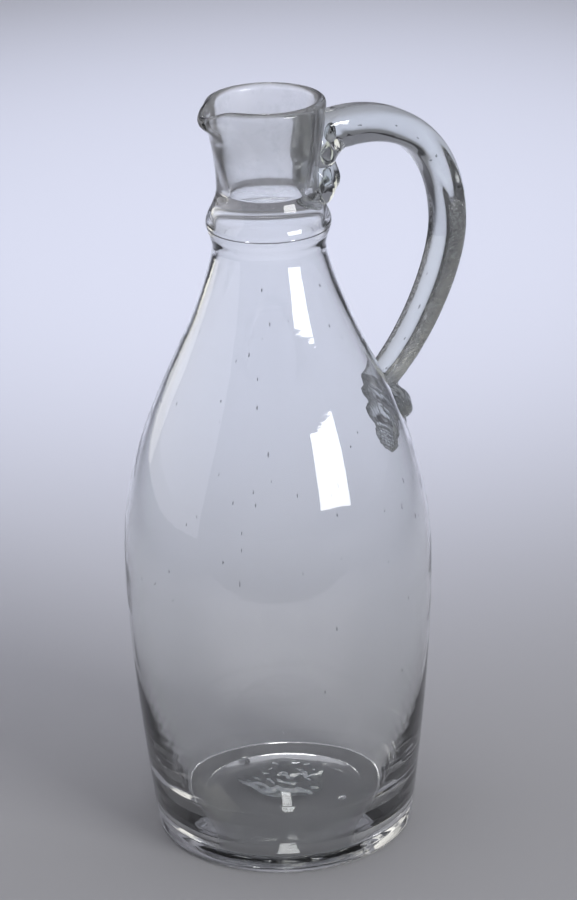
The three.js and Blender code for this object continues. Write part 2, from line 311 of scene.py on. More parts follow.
def bottle_outside(grown=0.0):
    foot = (FOOT_RADIUS + grown, FOOT_ROUNDING)
    belly = (BELLY_RADIUS + grown, BELLY_HEIGHT)
    neck = (NECK_RADIUS + grown, NECK_HEIGHT)
    lap = (LAP_RADIUS + grown, LAP_HEIGHT)
    neck_pull = (NECK_SLANT, -NECK_SWEEP)
    flare_pull = (-NECK_SLANT * FLARE_START, NECK_SWEEP * FLARE_START)
    lap_pull = ((neck[0] - lap[0]) * FLARE_END, (neck[1] - lap[1]) * FLARE_END)
    return joined(
        sweep(foot, (FOOT_FLARE, LOWER_WALL_RISE), (0, -LOWER_BELLY_SWEEP), belly, WALL_POINTS),
        sweep(belly, (0, SHOULDER_SWEEP), neck_pull, neck, SHOULDER_POINTS),
        sweep(neck, flare_pull, lap_pull, lap, NECK_POINTS),
    )


def bottle_inside():
    lap = (LAP_BORE_RADIUS, LAP_HEIGHT)
    neck = (NECK_RADIUS - NECK_WALL, NECK_HEIGHT)
    belly = (BELLY_RADIUS - BELLY_WALL, BELLY_HEIGHT)
    heel = (FLOOR_RADIUS, FLOOR_HEIGHT + FLOOR_CORNER)
    floor_edge = (FLOOR_RADIUS - FLOOR_CORNER, FLOOR_HEIGHT)
    crown = (0, FLOOR_HEIGHT + FLOOR_CROWN)
    half = (lap[1] - neck[1]) / 2
    corner = FLOOR_CORNER / 2
    return joined(
        sweep(lap, (0, -half), (0, half), neck, NECK_POINTS),
        sweep(neck, (NECK_SLANT, -NECK_SWEEP), (0, SHOULDER_SWEEP), belly, SHOULDER_POINTS),
        sweep(belly, (0, -HEEL_SWEEP), (HEEL_FLARE, HEEL_RISE), heel, HEEL_POINTS),
        sweep(heel, (0, -corner), (corner, 0), floor_edge, CORNER_POINTS),
        sweep(floor_edge, (-CROWN_SWEEP, 0), (CROWN_SWEEP, 0), crown, FLOOR_POINTS),
    )


def kick_outline():
    centre = (0, KICK_HEIGHT)
    edge = (KICK_RADIUS, 0)
    return sweep(centre, (KICK_FLAT, 0), (-KICK_FLANK, KICK_SPRING), edge, KICK_POINTS)


def bottle_outline():
    corner = (FOOT_RADIUS - FOOT_ROUNDING, FOOT_ROUNDING)
    rounding = (FOOT_ROUNDING, FOOT_ROUNDING)
    return joined(
        kick_outline(),
        ellipse_arc(corner, rounding, -math.pi / 2, 0, CORNER_POINTS),
        bottle_outside(),
        bottle_inside(),
    )


def mouth_outside(grown=0.0):
    lap = (LAP_RADIUS + grown, LAP_HEIGHT)
    waist = (WAIST_RADIUS + grown, LAP_HEIGHT + WAIST_ABOVE_LAP)
    lip = (LIP_RADIUS + grown, MOUTH_HEIGHT - LIP_ROUNDING)
    return joined(
        sweep(lap, (COLLAR_SWELL, COLLAR_RISE), (0, -COLLAR_SWEEP), waist, COLLAR_POINTS),
        sweep(waist, (0, FUNNEL_SWEEP), (-LIP_FLARE, -FUNNEL_SWEEP), lip, FUNNEL_POINTS),
    )


def mouth_outline():
    throat = (THROAT_RADIUS, LAP_HEIGHT + THROAT_ABOVE_LAP)
    under = (LAP_BORE_RADIUS, LAP_HEIGHT + CHAMBER_RISE)
    middle = ((LIP_RADIUS + BORE_TOP_RADIUS) / 2, MOUTH_HEIGHT - LIP_ROUNDING)
    half = ((LIP_RADIUS - BORE_TOP_RADIUS) / 2, LIP_ROUNDING)
    lip = ellipse_arc(middle, half, 0, math.pi, LIP_POINTS)
    bore_top = lip[-1]
    bore = sweep(bore_top, (0, 0), (0, 0), throat, BORE_POINTS)
    edge = (LAP_RADIUS - LAP_ROUNDING, LAP_HEIGHT + LAP_ROUNDING / 2)
    edge_radii = (LAP_ROUNDING, LAP_ROUNDING / 2 + LAP_OVERLAP)
    outline = joined(
        ellipse_arc(edge, edge_radii, -math.pi / 2, 0, LAP_POINTS),
        mouth_outside()[1:],
        lip,
        bore,
        sweep(throat, (0, -THROAT_SWEEP), (0, CHAMBER_SWEEP), under, BORE_POINTS),
        [(LAP_BORE_RADIUS, LAP_HEIGHT - LAP_OVERLAP)],
    )
    return outline + [outline[0]]


# Shaping

def placed(x, y, z):
    """A place in the scene, from millimetres about the vessel's axis."""
    return AXIS_X + x * MM, AXIS_Y + y * MM, z * MM


def deselect_all():
    if bpy.context.object and bpy.context.object.mode != "OBJECT":
        bpy.ops.object.mode_set(mode="OBJECT")
    bpy.ops.object.select_all(action="DESELECT")


def make_active(piece):
    deselect_all()
    piece.select_set(True)
    bpy.context.view_layer.objects.active = piece


def apply_modifier(piece, kind, **settings):
    make_active(piece)
    modifier = piece.modifiers.new(kind.lower(), kind)
    for name, value in settings.items():
        setattr(modifier, name, value)
    bpy.ops.object.modifier_apply(modifier=modifier.name)


def turned(name, outline):
    """Draws an outline point by point beside the axis and spins it into a closed skin."""
    deselect_all()
    bpy.ops.mesh.primitive_plane_add(size=MM, location=(0, 0, 0))
    piece = bpy.context.object
    piece.name = name
    bpy.ops.object.mode_set(mode="EDIT")
    bpy.ops.mesh.merge(type="CENTER")
    bpy.ops.transform.translate(value=placed(outline[0][0], 0, outline[0][1]))
    for last, point in zip(outline, outline[1:]):
        step = ((point[0] - last[0]) * MM, 0, (point[1] - last[1]) * MM)
        bpy.ops.mesh.extrude_vertices_move(TRANSFORM_OT_translate={"value": step})
    bpy.ops.mesh.select_all(action="SELECT")
    bpy.ops.mesh.spin(
        steps=ROUND_STEPS, angle=math.tau, center=(AXIS_X, AXIS_Y, 0), axis=(0, 0, 1)
    )
    bpy.ops.mesh.select_all(action="SELECT")
    bpy.ops.mesh.remove_doubles(threshold=MERGE_DISTANCE * MM)
    bpy.ops.mesh.normals_make_consistent(inside=False)
    bpy.ops.object.mode_set(mode="OBJECT")
    return piece


def reshape(piece, move):
    """Moves each vertex by a function of its place, measured in millimetres from the axis."""
    for vertex in piece.data.vertices:
        x = (vertex.co.x - AXIS_X) / MM
        y = (vertex.co.y - AXIS_Y) / MM
        z = vertex.co.z / MM
        vertex.co = placed(*move(x, y, z))
    piece.data.update()


def smoothstep(value, low, high):
    share = min(1.0, max(0.0, (value - low) / (high - low)))
    return share * share * (3 - 2 * share)


def fade(value, full, gone):
    """One below `full`, nothing above `gone`, and smooth between."""
    return smoothstep(-value, -gone, -full)


def mix(low, high, share):
    return low + (high - low) * share


def shoulder_radius(height):
    outline = bottle_outside()
    for low, high in zip(outline, outline[1:]):
        if low[1] <= height <= high[1]:
            return mix(low[0], high[0], (height - low[1]) / (high[1] - low[1]))
    raise ValueError("height is off the bottle")


# Pieces

def ring_inside(x, y, z):
    """Slow rings inside the thick lower wall, climbing as they go and strongest on two sides."""
    radius = math.hypot(x, y)
    low, full, fading, high = RING_RANGE
    if not low < z < high or radius > shoulder_radius(z) - RING_SKIN:
        return x, y, z
    turn = math.atan2(y, x)
    across, along = RING_WANDER_SPANS
    wander = noise.noise(Vector((x / across, y / across, z / along)))
    wave = math.sin(math.tau * z / RING_PITCH + turn + RING_WANDER * wander)
    across, along = RING_UNEVEN_SPANS
    uneven = noise.noise(Vector((x / across, y / across, z / along + RING_UNEVEN_SHIFT)))
    uneven = RING_UNEVENNESS[0] + RING_UNEVENNESS[1] * uneven
    flank = abs(math.cos(turn - math.radians(RING_TURN))) ** RING_FLANK_POWER
    depth = RING_HEIGHT * flank * smoothstep(z, low, full) * fade(z, fading, high)
    grow = (radius + depth * wave * uneven) / radius
    return x * grow, y * grow, z


def hollow(name, middle, sizes, turn=0.0, lean=0.0):
    """A bubble: a small closed skin that faces into itself, along the wall that it lies in."""
    deselect_all()
    bpy.ops.mesh.primitive_uv_sphere_add(
        segments=BUBBLE_STEPS[0], ring_count=BUBBLE_STEPS[1], radius=1,
        location=placed(*middle), rotation=(0, lean, turn), scale=[size * MM for size in sizes],
    )
    piece = bpy.context.object
    piece.name = name
    bpy.ops.object.transform_apply(location=True, rotation=True, scale=True)
    bpy.ops.object.mode_set(mode="EDIT")
    bpy.ops.mesh.select_all(action="SELECT")
    bpy.ops.mesh.normals_make_consistent(inside=True)
    bpy.ops.object.mode_set(mode="OBJECT")
    return piece


def take_in(piece, others):
    """Joins other pieces into the first."""
    make_active(piece)
    for other in others:
        other.select_set(True)
    bpy.ops.object.join()


def make_bottle():
    piece = turned("body_glass", bottle_outline())
    reshape(piece, ring_inside)
    bubbles = [hollow("blister", BLISTER_PLACE, BLISTER_SIZE)]
    chance = random.Random(SEED_SEED)
    for i in range(SEED_COUNT):
        height = chance.uniform(SEED_LOWEST, NECK_HEIGHT - SEED_BELOW_NECK)
        turn = chance.uniform(0, math.tau)
        slope = (shoulder_radius(height + 1) - shoulder_radius(height - 1)) / 2
        radius = shoulder_radius(height) - chance.uniform(*SEED_DEPTHS)
        middle = (radius * math.cos(turn), radius * math.sin(turn), height)
        width = chance.uniform(*SEED_WIDTHS)
        sizes = (width, width, width * chance.uniform(*SEED_STRETCH))
        bubbles.append(hollow("seed", middle, sizes, turn, math.atan(slope)))
    take_in(piece, bubbles)
    return piece


def pull_spout(x, y, z):
    rise = smoothstep(z, MOUTH_HEIGHT - SPOUT_DEPTH, MOUTH_HEIGHT - LIP_ROUNDING)
    turn = math.atan2(y, -x) / SPOUT_HALF_ANGLE
    pull = rise * math.exp(-turn * turn)
    radius = math.hypot(x, y)
    grow = (radius + SPOUT_REACH * pull) / radius
    return x * grow, y * grow, z - SPOUT_DIP * pull * pull


def make_mouth():
    piece = turned("mouth_glass", mouth_outline())
    reshape(piece, pull_spout)
    return piece


def strap_line(rings):
    """Places along the strap's middle line, equally spaced, as radius and height."""
    top = MOUTH_HEIGHT - STRAP_TOP_DROP
    start = (WAIST_RADIUS + STRAP_START, top - STRAP_TOP_DIP)
    widest = (HANDLE_REACH, HANDLE_REACH_HEIGHT)
    landing_height = TAIL_HEIGHT + LANDING_RISE
    landing = (shoulder_radius(landing_height) - LANDING_DEPTH, landing_height)
    over = (widest[0] - start[0], widest[1] - start[1])
    down = (landing[0] - widest[0], landing[1] - widest[1])
    first = (
        start,
        (start[0] + over[0] * TOP_BEND, top + STRAP_TOP_LIFT),
        (widest[0], widest[1] + (top - widest[1]) * REACH_BEND),
        widest,
    )
    second = (
        widest,
        (widest[0], widest[1] + down[1] * RUN_BEND),
        (landing[0] - down[0] * LANDING_BEND, landing[1] - down[1] * LANDING_LIFT),
        landing,
    )
    fine = STRAP_LINE_STEPS
    dense = [curve_point(first, i / fine) for i in range(fine)]
    dense += [curve_point(second, i / fine) for i in range(fine + 1)]
    lengths = [0.0]
    for a, b in zip(dense, dense[1:]):
        lengths.append(lengths[-1] + math.dist(a, b))
    line = []
    k = 0
    for i in range(rings + 1):
        goal = lengths[-1] * i / rings
        while k < len(dense) - 2 and lengths[k + 1] < goal:
            k += 1
        share = (goal - lengths[k]) / (lengths[k + 1] - lengths[k])
        line.append(tuple(mix(dense[k][j], dense[k + 1][j], share) for j in (0, 1)))
    return line


def strap_section(width, thickness):
    """A squarish oval: across the strap, then out from its middle line."""
    points = []
    for i in range(SECTION_POINTS):
        angle = math.tau * i / SECTION_POINTS
        across, out = math.cos(angle), math.sin(angle)
        points.append((
            math.copysign(abs(across) ** (2 / STRAP_SQUARENESS), across) * width / 2,
            math.copysign(abs(out) ** (2 / STRAP_SQUARENESS), out) * thickness / 2,
        ))
    return points


def skin(name, rings):
    """A closed skin over rings of points that all have the same count."""
    count = len(rings[0])
    vertices = [point for ring in rings for point in ring]
    faces = []
    for row in range(len(rings) - 1):
        for i in range(count):
            a = row * count + i
            b = row * count + (i + 1) % count
            faces.append((a, b, b + count, a + count))
    faces.append(tuple(reversed(range(count))))
    faces.append(tuple(range((len(rings) - 1) * count, len(rings) * count)))
    mesh = bpy.data.meshes.new(name)
    mesh.from_pydata(vertices, [], faces)
    piece = bpy.data.objects.new(name, mesh)
    bpy.context.collection.objects.link(piece)
    make_active(piece)
    bpy.ops.object.mode_set(mode="EDIT")
    bpy.ops.mesh.select_all(action="SELECT")
    bpy.ops.mesh.normals_make_consistent(inside=False)
    bpy.ops.object.mode_set(mode="OBJECT")
    return piece


def make_strap():
    line = strap_line(STRAP_RINGS)
    rings = []
    for i, (radius, height) in enumerate(line):
        before = line[max(0, i - 1)]
        after = line[min(STRAP_RINGS, i + 1)]
        along = Vector((after[0] - before[0], after[1] - before[1])).normalized()
        out = Vector((-along.y, along.x))
        share = i / STRAP_RINGS
        thinned = 1 - (1 - share) ** STRAP_THINNING
        thickness = mix(STRAP_THICKNESS, STRAP_TAIL_THICKNESS, thinned)
        width = mix(STRAP_END_WIDTH, STRAP_WIDTH, math.sin(math.pi * share))
        ring = []
        for across, outwards in strap_section(width, thickness):
            r = radius + out.x * outwards
            z = height + out.y * outwards
            ring.append(placed(r, -across, z))
        rings.append(ring)
    return skin("handle_glass", rings)


def lobe(name, middle, depth, width, tall):
    """A pressed lobe of glass, from its middle and its three sizes."""
    deselect_all()
    bpy.ops.mesh.primitive_uv_sphere_add(
        segments=LOBE_STEPS[0], ring_count=LOBE_STEPS[1], radius=1, location=placed(*middle)
    )
    piece = bpy.context.object
    piece.name = name
    piece.scale = (depth * MM, width / 2 * MM, tall / 2 * MM)
    bpy.ops.object.transform_apply(location=True, rotation=True, scale=True)
    return piece


def cut_away(piece, other):
    apply_modifier(piece, "BOOLEAN", operation="DIFFERENCE", object=other, solver="EXACT")
    bpy.data.objects.remove(other)


def melted(pieces):
    """One skin round several lumps that have run together, with their joins drawn smooth."""
    piece = pieces[0]
    take_in(piece, pieces[1:])
    apply_modifier(piece, "REMESH", mode="VOXEL", voxel_size=HANDLE_VOXEL * MM)
    apply_modifier(piece, "SMOOTH", factor=SMOOTHING, iterations=SKIN_ROUNDS)
    group = piece.vertex_groups.new(name="joins")
    for vertex in piece.data.vertices:
        radius = math.hypot(vertex.co.x - AXIS_X, vertex.co.y - AXIS_Y) / MM
        weight = join_weight(radius, vertex.co.z / MM)
        if weight > 0:
            group.add([vertex.index], weight, "REPLACE")
    apply_modifier(
        piece, "SMOOTH", factor=SMOOTHING, iterations=JOIN_ROUNDS, vertex_group=group.name
    )
    return piece


def join_weight(radius, height):
    """How strongly the root, the landing and the tail are drawn smooth."""
    root = fade(radius, *ROOT_JOIN_RADII) * smoothstep(height, *ROOT_JOIN_FOOT)
    landing = LANDING_JOIN * fade(height, *LANDING_JOIN_TOP)
    landing *= smoothstep(height, *LANDING_JOIN_FOOT)
    tail = TAIL_JOIN * fade(height, *TAIL_JOIN_TOP)
    return max(root, landing, tail)


def fold(piece):
    """Folds and pinches where the hot glass was stuck down: at the root and in the tail."""
    normals = [vertex.normal.copy() for vertex in piece.data.vertices]
    for vertex, normal in zip(piece.data.vertices, normals):
        place = (vertex.co - Vector((AXIS_X, AXIS_Y, 0))) / MM
        radius = math.hypot(place.x, place.y)
        root = fade(radius, *ROOT_FOLD_RADII) * fade(place.z, *ROOT_FOLD_TOP)
        root *= smoothstep(place.z, *ROOT_FOLD_FOOT)
        tail = fade(place.z, *TAIL_FOLD_TOP)
        if root <= 0 and tail <= 0:
            continue
        out, across, along = FOLD_SPANS
        slanted = (place.z + place.x) / along
        swell = noise.noise(Vector((place.x / out, place.y / across, slanted)))
        crease = min(abs(swell) / CREASE_SHARE, 1) - 1
        tip = fade(place.z, *TIP_TOP)
        marks = math.sin(math.tau * (place.z + place.y) / TIP_MARK_PITCH)
        marks *= math.sin(math.tau * (place.z - place.y) / TIP_MARK_PITCH)
        depth = ROOT_FOLDS * root * (swell * ROOT_FOLD_SHARES[0] + crease * ROOT_FOLD_SHARES[1])
        tail_fold = swell * TAIL_FOLD_SHARES[0] + crease * TAIL_FOLD_SHARES[1]
        depth += TAIL_FOLDS * tail * tail_fold * (1 - TIP_FLATTENING * tip)
        depth += TIP_MARK_DEPTH * tip * marks
        vertex.co += normal * depth * MM
    piece.data.update()


def make_handle():
    pieces = [make_strap()]
    radius = WAIST_RADIUS + ROOT_SINK
    pad_height = MOUTH_HEIGHT - STRAP_TOP_DROP - ROOT_DROP
    lump_height = pad_height - (ROOT_HEIGHT + ROOT_LUMP_HEIGHT) / 2 * ROOT_LUMP_SHARE
    pieces.append(lobe("pad", (radius, 0, pad_height), ROOT_DEPTH, ROOT_WIDTH, ROOT_HEIGHT))
    pieces.append(
        lobe("lump", (radius, 0, lump_height), ROOT_LUMP_DEPTH, ROOT_LUMP_WIDTH, ROOT_LUMP_HEIGHT)
    )
    web_height = MOUTH_HEIGHT - STRAP_TOP_DROP - WEB_DROP
    pieces.append(lobe("web", (WAIST_RADIUS + WEB_OUT, 0, web_height), *WEB_SIZES))
    for i, width in enumerate(TAIL_WIDTHS):
        height = TAIL_HEIGHT - i * TAIL_PITCH
        middle = (shoulder_radius(height) - TAIL_SINK, TAIL_PLACES[i], height)
        pieces.append(lobe("tail", middle, TAIL_THICKNESS[i] + TAIL_SINK, width, TAIL_LENGTHS[i]))
    piece = melted(pieces)
    fold(piece)
    seat = joined(
        [(0, 0), (FOOT_RADIUS, 0)],
        bottle_outside(-SEAT_DEPTH),
        mouth_outside(-SEAT_DEPTH),
        [(LIP_RADIUS - SEAT_DEPTH, MOUTH_HEIGHT), (0, MOUTH_HEIGHT)],
    )
    cut_away(piece, turned("seat", seat))
    bubbles = [hollow("trapped_fold", *fold_shape) for fold_shape in TRAPPED_FOLDS]
    bubbles += strap_seeds()
    take_in(piece, bubbles)
    return piece


def strap_seeds():
    """Small bubbles drawn out along the strap."""
    chance = random.Random(STRAP_SEED_SEED)
    line = strap_line(STRAP_SEED_COUNT * PLACES_PER_SEED)
    seeds = []
    for i in range(STRAP_SEED_COUNT):
        first = PLACES_PER_SEED * i + 1
        near, far = line[first], line[first + 1]
        slope = math.atan2(far[0] - near[0], far[1] - near[1])
        out, across = (chance.uniform(-spread, spread) for spread in STRAP_SEED_SPREAD)
        middle = (near[0] + out, across, near[1])
        width = chance.uniform(*STRAP_SEED_WIDTHS)
        sizes = (width, width, width * chance.uniform(*STRAP_SEED_STRETCH))
        seeds.append(hollow("strap_seed", middle, sizes, 0, slope))
    return seeds


def scar_height(x, y, share):
    """How far the broken face hangs below the kick: ragged folds that thin out to the edge."""
    span, layers = SCAR_SWIRL_SPAN, SCAR_NOISE_LAYERS
    folds = noise.noise(Vector((x / SCAR_FOLD_SPANS[0], y / SCAR_FOLD_SPANS[1], layers[0])))
    swirl = noise.noise(Vector((x / span + SCAR_SWIRL_SHIFT, y / span, layers[1])))
    grain = noise.noise(Vector((x / SCAR_GRAIN_SPAN, y / SCAR_GRAIN_SPAN, layers[2])))
    uneven = SCAR_EVEN_SHARE + SCAR_SWIRL_SHARE * swirl
    uneven += SCAR_GRAIN_SHARE * grain - SCAR_FOLD_SHARE * abs(folds)
    depth = SCAR_THICKNESS * (1 - share ** 3) * uneven
    return max(SCAR_EDGE * (1 - share), depth)


def make_scar():
    """A ragged cap of broken glass under the kick, sunk a little into it."""
    kick = kick_outline()
    first, second = SCAR_EDGE_LOBES
    lower = []
    upper = []
    for row in range(SCAR_ROWS + 1):
        share = max(SCAR_CENTRE, row / SCAR_ROWS)
        under = []
        over = []
        for i in range(SCAR_POINTS):
            angle = math.tau * i / SCAR_POINTS
            ragged = 1 + SCAR_RAGGEDNESS * (math.sin(first * angle) + math.cos(second * angle))
            radius = SCAR_RADIUS * ragged * share
            x = radius * math.cos(angle) + SCAR_PLACE[0]
            y = radius * math.sin(angle) + SCAR_PLACE[1]
            top = kick_height(kick, math.hypot(x, y)) + SEAT_DEPTH
            hanging = SCAR_THINNEST + SEAT_DEPTH + scar_height(x, y, share)
            under.append(placed(x, y, max(SCAR_CLEARANCE, top - hanging)))
            over.append(placed(x, y, top))
        lower.append(under)
        upper.append(over)
    return skin("pontil_scar_glass", lower + upper[::-1])


def kick_height(kick, radius):
    for near, far in zip(kick, kick[1:]):
        if near[0] <= radius <= far[0]:
            return mix(near[1], far[1], (radius - near[0]) / (far[0] - near[0]))
    raise ValueError("radius is off the kick")


# Materials: clear soda glass, finished in four ways. Pattern sizes, depths and heights are in
# millimetres. To turn the strap's flank dark, its colour is greyer than real glass, a painted
# shade, and its MARK_DEPTH many times deeper than in real glass.

GLASS_IOR = 1.52
CLEAR_GLASS = "#FDFEFE"
STRAP_GLASS_PAINTED_SHADE = "#E6EAE9"
SCAR_GLASS = "#FBFDFD"
GROUND_GLASS = "#FBFBFA"
WAVE_SIZE = 14.286
WAVE_DEPTH = 0.12
CORD_SIZES = (16.667, 1.4286)
CORD_DEPTH = 0.012
CORD_HEIGHTS = (55, 75)
BLOOM_ABOVE_LAP = (5, 15)
BLOOM_LOWEST = -0.15
BLOOM_PATCH_SIZE = 4.5455
BLOOM_PATCHINESS = (0.9, -0.45)
BLOOM_VEIL = 0.48
GROUND_ROUGHNESS = 0.32
GROUND_CLARITY = 0.8
GRIT_SIZE = 0.4
GRIT_DEPTH = 0.03
MARK_SIZES = (5, 1.6667)
MARK_DEPTH = 4.5
MARK_HEIGHTS = (158, 152)
MARK_FLANK = (0.45, 0.8)
STRAP_CORD_SIZE = 7.143
STRAP_CORD_DEPTH = 0.1
CHIP_SIZE = 1.1111
CHIP_DEPTH = 0.06
CHIP_ROUGHNESS = 0.05
GRAIN_STRENGTH = 0.6


def colour(code):
    """An sRGB hex code as a linear colour."""
    channels = [int(code[i:i + 2], 16) / 255 for i in (1, 3, 5)]
    linear = [c / 12.92 if c <= 0.04045 else ((c + 0.055) / 1.055) ** 2.4 for c in channels]
    return (*linear, 1.0)


def add_node(tree, kind, settings=None, links=None, **properties):
    """One node with its properties, the values of its sockets, and what feeds them."""
    node = tree.nodes.new(kind)
    for name, value in properties.items():
        setattr(node, name, value)
    for socket, value in (settings or {}).items():
        node.inputs[socket].default_value = value
    for socket, source in (links or {}).items():
        tree.links.new(source, node.inputs[socket])
    return node


def per_metre(size):
    """The scale that gives a pattern this size in millimetres."""
    return 1 / (size * MM)


def glass_shader(tree, code, normal=None, roughness=0.0, clarity=1.0):
    links = {"Normal": normal.outputs["Normal"]} if normal else None
    return add_node(
        tree, "ShaderNodeBsdfPrincipled",
        {
            "Base Color": colour(code), "Roughness": roughness, "IOR": GLASS_IOR,
            "Transmission Weight": clarity,
        },
        links,
    )


def new_material(name):
    material = bpy.data.materials.new(name)
    material.use_nodes = True
    material.node_tree.nodes.clear()
    return material, material.node_tree


# Clear soda glass, blown and fire polished: mirror smooth, with slow waves from the blowing
# and fine cords drawn out round the axis
def blown_glass_material():
    material, tree = new_material("clear_soda_glass_free_blown")
    across, along = (per_metre(size) for size in CORD_SIZES)
    place = add_node(tree, "ShaderNodeTexCoord")
    waves = add_node(
        tree, "ShaderNodeTexNoise",
        {"Scale": per_metre(WAVE_SIZE), "Detail": 1, "Roughness": 0.4},
        {"Vector": place.outputs["Object"]},
    )
    cords_place = add_node(
        tree, "ShaderNodeMapping",
        {"Scale": (across, across, along)},
        {"Vector": place.outputs["Object"]},
    )
    cords = add_node(
        tree, "ShaderNodeTexNoise",
        {"Scale": 1, "Detail": 2, "Roughness": 0.5},
        {"Vector": cords_place.outputs["Vector"]},
    )
    wave_bump = add_node(
        tree, "ShaderNodeBump",
        {"Strength": 1.0, "Distance": WAVE_DEPTH * MM},
        {"Height": waves.outputs["Fac"]},
    )
    parts = add_node(tree, "ShaderNodeSeparateXYZ", None, {"Vector": place.outputs["Object"]})
    above_heel = add_node(
        tree, "ShaderNodeMapRange",
        {"From Min": CORD_HEIGHTS[0] * MM, "From Max": CORD_HEIGHTS[1] * MM},
        {"Value": parts.outputs["Z"]},
    )
    cord_bump = add_node(
        tree, "ShaderNodeBump", {"Distance": CORD_DEPTH * MM},
        {
            "Height": cords.outputs["Fac"], "Strength": above_heel.outputs["Result"],
            "Normal": wave_bump.outputs["Normal"],
        },
    )
    shader = glass_shader(tree, CLEAR_GLASS, cord_bump)
    add_node(tree, "ShaderNodeOutputMaterial", None, {"Surface": shader.outputs["BSDF"]})
    return material


# Glass ground with wet abrasive to seat a stopper: a grey matt bloom, deepest in the upper bore,
# broken by clearer patches and running out towards the throat
def ground_glass_material():
    material, tree = new_material("soda_glass_bore_ground_for_a_stopper")
    place = add_node(tree, "ShaderNodeTexCoord")
    parts = add_node(tree, "ShaderNodeSeparateXYZ", None, {"Vector": place.outputs["Object"]})
    reach = add_node(
        tree, "ShaderNodeMapRange",
        {
            "From Min": (LAP_HEIGHT + BLOOM_ABOVE_LAP[0]) * MM,
            "From Max": (LAP_HEIGHT + BLOOM_ABOVE_LAP[1]) * MM, "To Min": BLOOM_LOWEST,
        },
        {"Value": parts.outputs["Z"]},
        interpolation_type="SMOOTHSTEP",
    )
    patches = add_node(
        tree, "ShaderNodeTexNoise",
        {"Scale": per_metre(BLOOM_PATCH_SIZE), "Detail": 5, "Roughness": 0.6},
        {"Vector": place.outputs["Object"]},
    )
    uneven = add_node(
        tree, "ShaderNodeMath", {1: BLOOM_PATCHINESS[0], 2: BLOOM_PATCHINESS[1]},
        {0: patches.outputs["Fac"]}, operation="MULTIPLY_ADD",
    )
    bloom = add_node(
        tree, "ShaderNodeMath", None, {0: reach.outputs["Result"], 1: uneven.outputs["Value"]},
        operation="ADD", use_clamp=True,
    )
    grit = add_node(
        tree, "ShaderNodeTexNoise",
        {"Scale": per_metre(GRIT_SIZE), "Detail": 2, "Roughness": 0.6},
        {"Vector": place.outputs["Object"]},
    )
    bump = add_node(
        tree, "ShaderNodeBump", {"Strength": GRAIN_STRENGTH, "Distance": GRIT_DEPTH * MM},
        {"Height": grit.outputs["Fac"]},
    )
    ground = glass_shader(tree, GROUND_GLASS, bump, GROUND_ROUGHNESS, GROUND_CLARITY)
    left_clear = glass_shader(tree, CLEAR_GLASS)
    veil = add_node(
        tree, "ShaderNodeMath", {1: BLOOM_VEIL}, {0: bloom.outputs["Value"]},
        operation="MULTIPLY",
    )
    shader = add_node(
        tree, "ShaderNodeMixShader", None,
        {0: veil.outputs["Value"], 1: left_clear.outputs["BSDF"], 2: ground.outputs["BSDF"]},
    )
    add_node(tree, "ShaderNodeOutputMaterial", None, {"Surface": shader.outputs["Shader"]})
    return material


# Clear glass drawn out by hand while soft: mirror smooth, with slow cords along it, and with close
# cross marks down its flanks, exaggerated to turn them dark, under a greyer colour of painted shade
def drawn_glass_material():
    material, tree = new_material("soda_glass_drawn_strap_greyed_as_painted_shade")
    across, along = (per_metre(size) for size in MARK_SIZES)
    place = add_node(tree, "ShaderNodeTexCoord")
    parts = add_node(tree, "ShaderNodeSeparateXYZ", None, {"Vector": place.outputs["Object"]})
    below_arch = add_node(
        tree, "ShaderNodeMapRange",
        {"From Min": MARK_HEIGHTS[0] * MM, "From Max": MARK_HEIGHTS[1] * MM},
        {"Value": parts.outputs["Z"]},
    )
    surface = add_node(tree, "ShaderNodeNewGeometry")
    facing = add_node(
        tree, "ShaderNodeSeparateXYZ", None, {"Vector": surface.outputs["True Normal"]}
    )
    flank = add_node(tree, "ShaderNodeMath", None, {0: facing.outputs["Y"]}, operation="ABSOLUTE")
    on_flank = add_node(
        tree, "ShaderNodeMapRange", {"From Min": MARK_FLANK[0], "From Max": MARK_FLANK[1]},
        {"Value": flank.outputs["Value"]},
    )
    marked = add_node(
        tree, "ShaderNodeMath", None,
        {0: on_flank.outputs["Result"], 1: below_arch.outputs["Result"]}, operation="MULTIPLY",
    )
    stretched = add_node(
        tree, "ShaderNodeMapping", {"Scale": (across, across, along)},
        {"Vector": place.outputs["Object"]},
    )
    marks = add_node(
        tree, "ShaderNodeTexNoise", {"Scale": 1, "Detail": 4, "Roughness": 0.7},
        {"Vector": stretched.outputs["Vector"]},
    )
    mark_bump = add_node(
        tree, "ShaderNodeBump", {"Distance": MARK_DEPTH * MM},
        {"Height": marks.outputs["Fac"], "Strength": marked.outputs["Value"]},
    )
    cords = add_node(
        tree, "ShaderNodeTexNoise",
        {"Scale": per_metre(STRAP_CORD_SIZE), "Detail": 1, "Roughness": 0.4},
        {"Vector": place.outputs["Object"]},
    )
    cord_bump = add_node(
        tree, "ShaderNodeBump", {"Strength": 1.0, "Distance": STRAP_CORD_DEPTH * MM},
        {"Height": cords.outputs["Fac"], "Normal": mark_bump.outputs["Normal"]},
    )
    # The strap's greyer glass colour is painted shade, darkening the whole strap
    shader = glass_shader(tree, STRAP_GLASS_PAINTED_SHADE, cord_bump)
    add_node(tree, "ShaderNodeOutputMaterial", None, {"Surface": shader.outputs["BSDF"]})
    return material


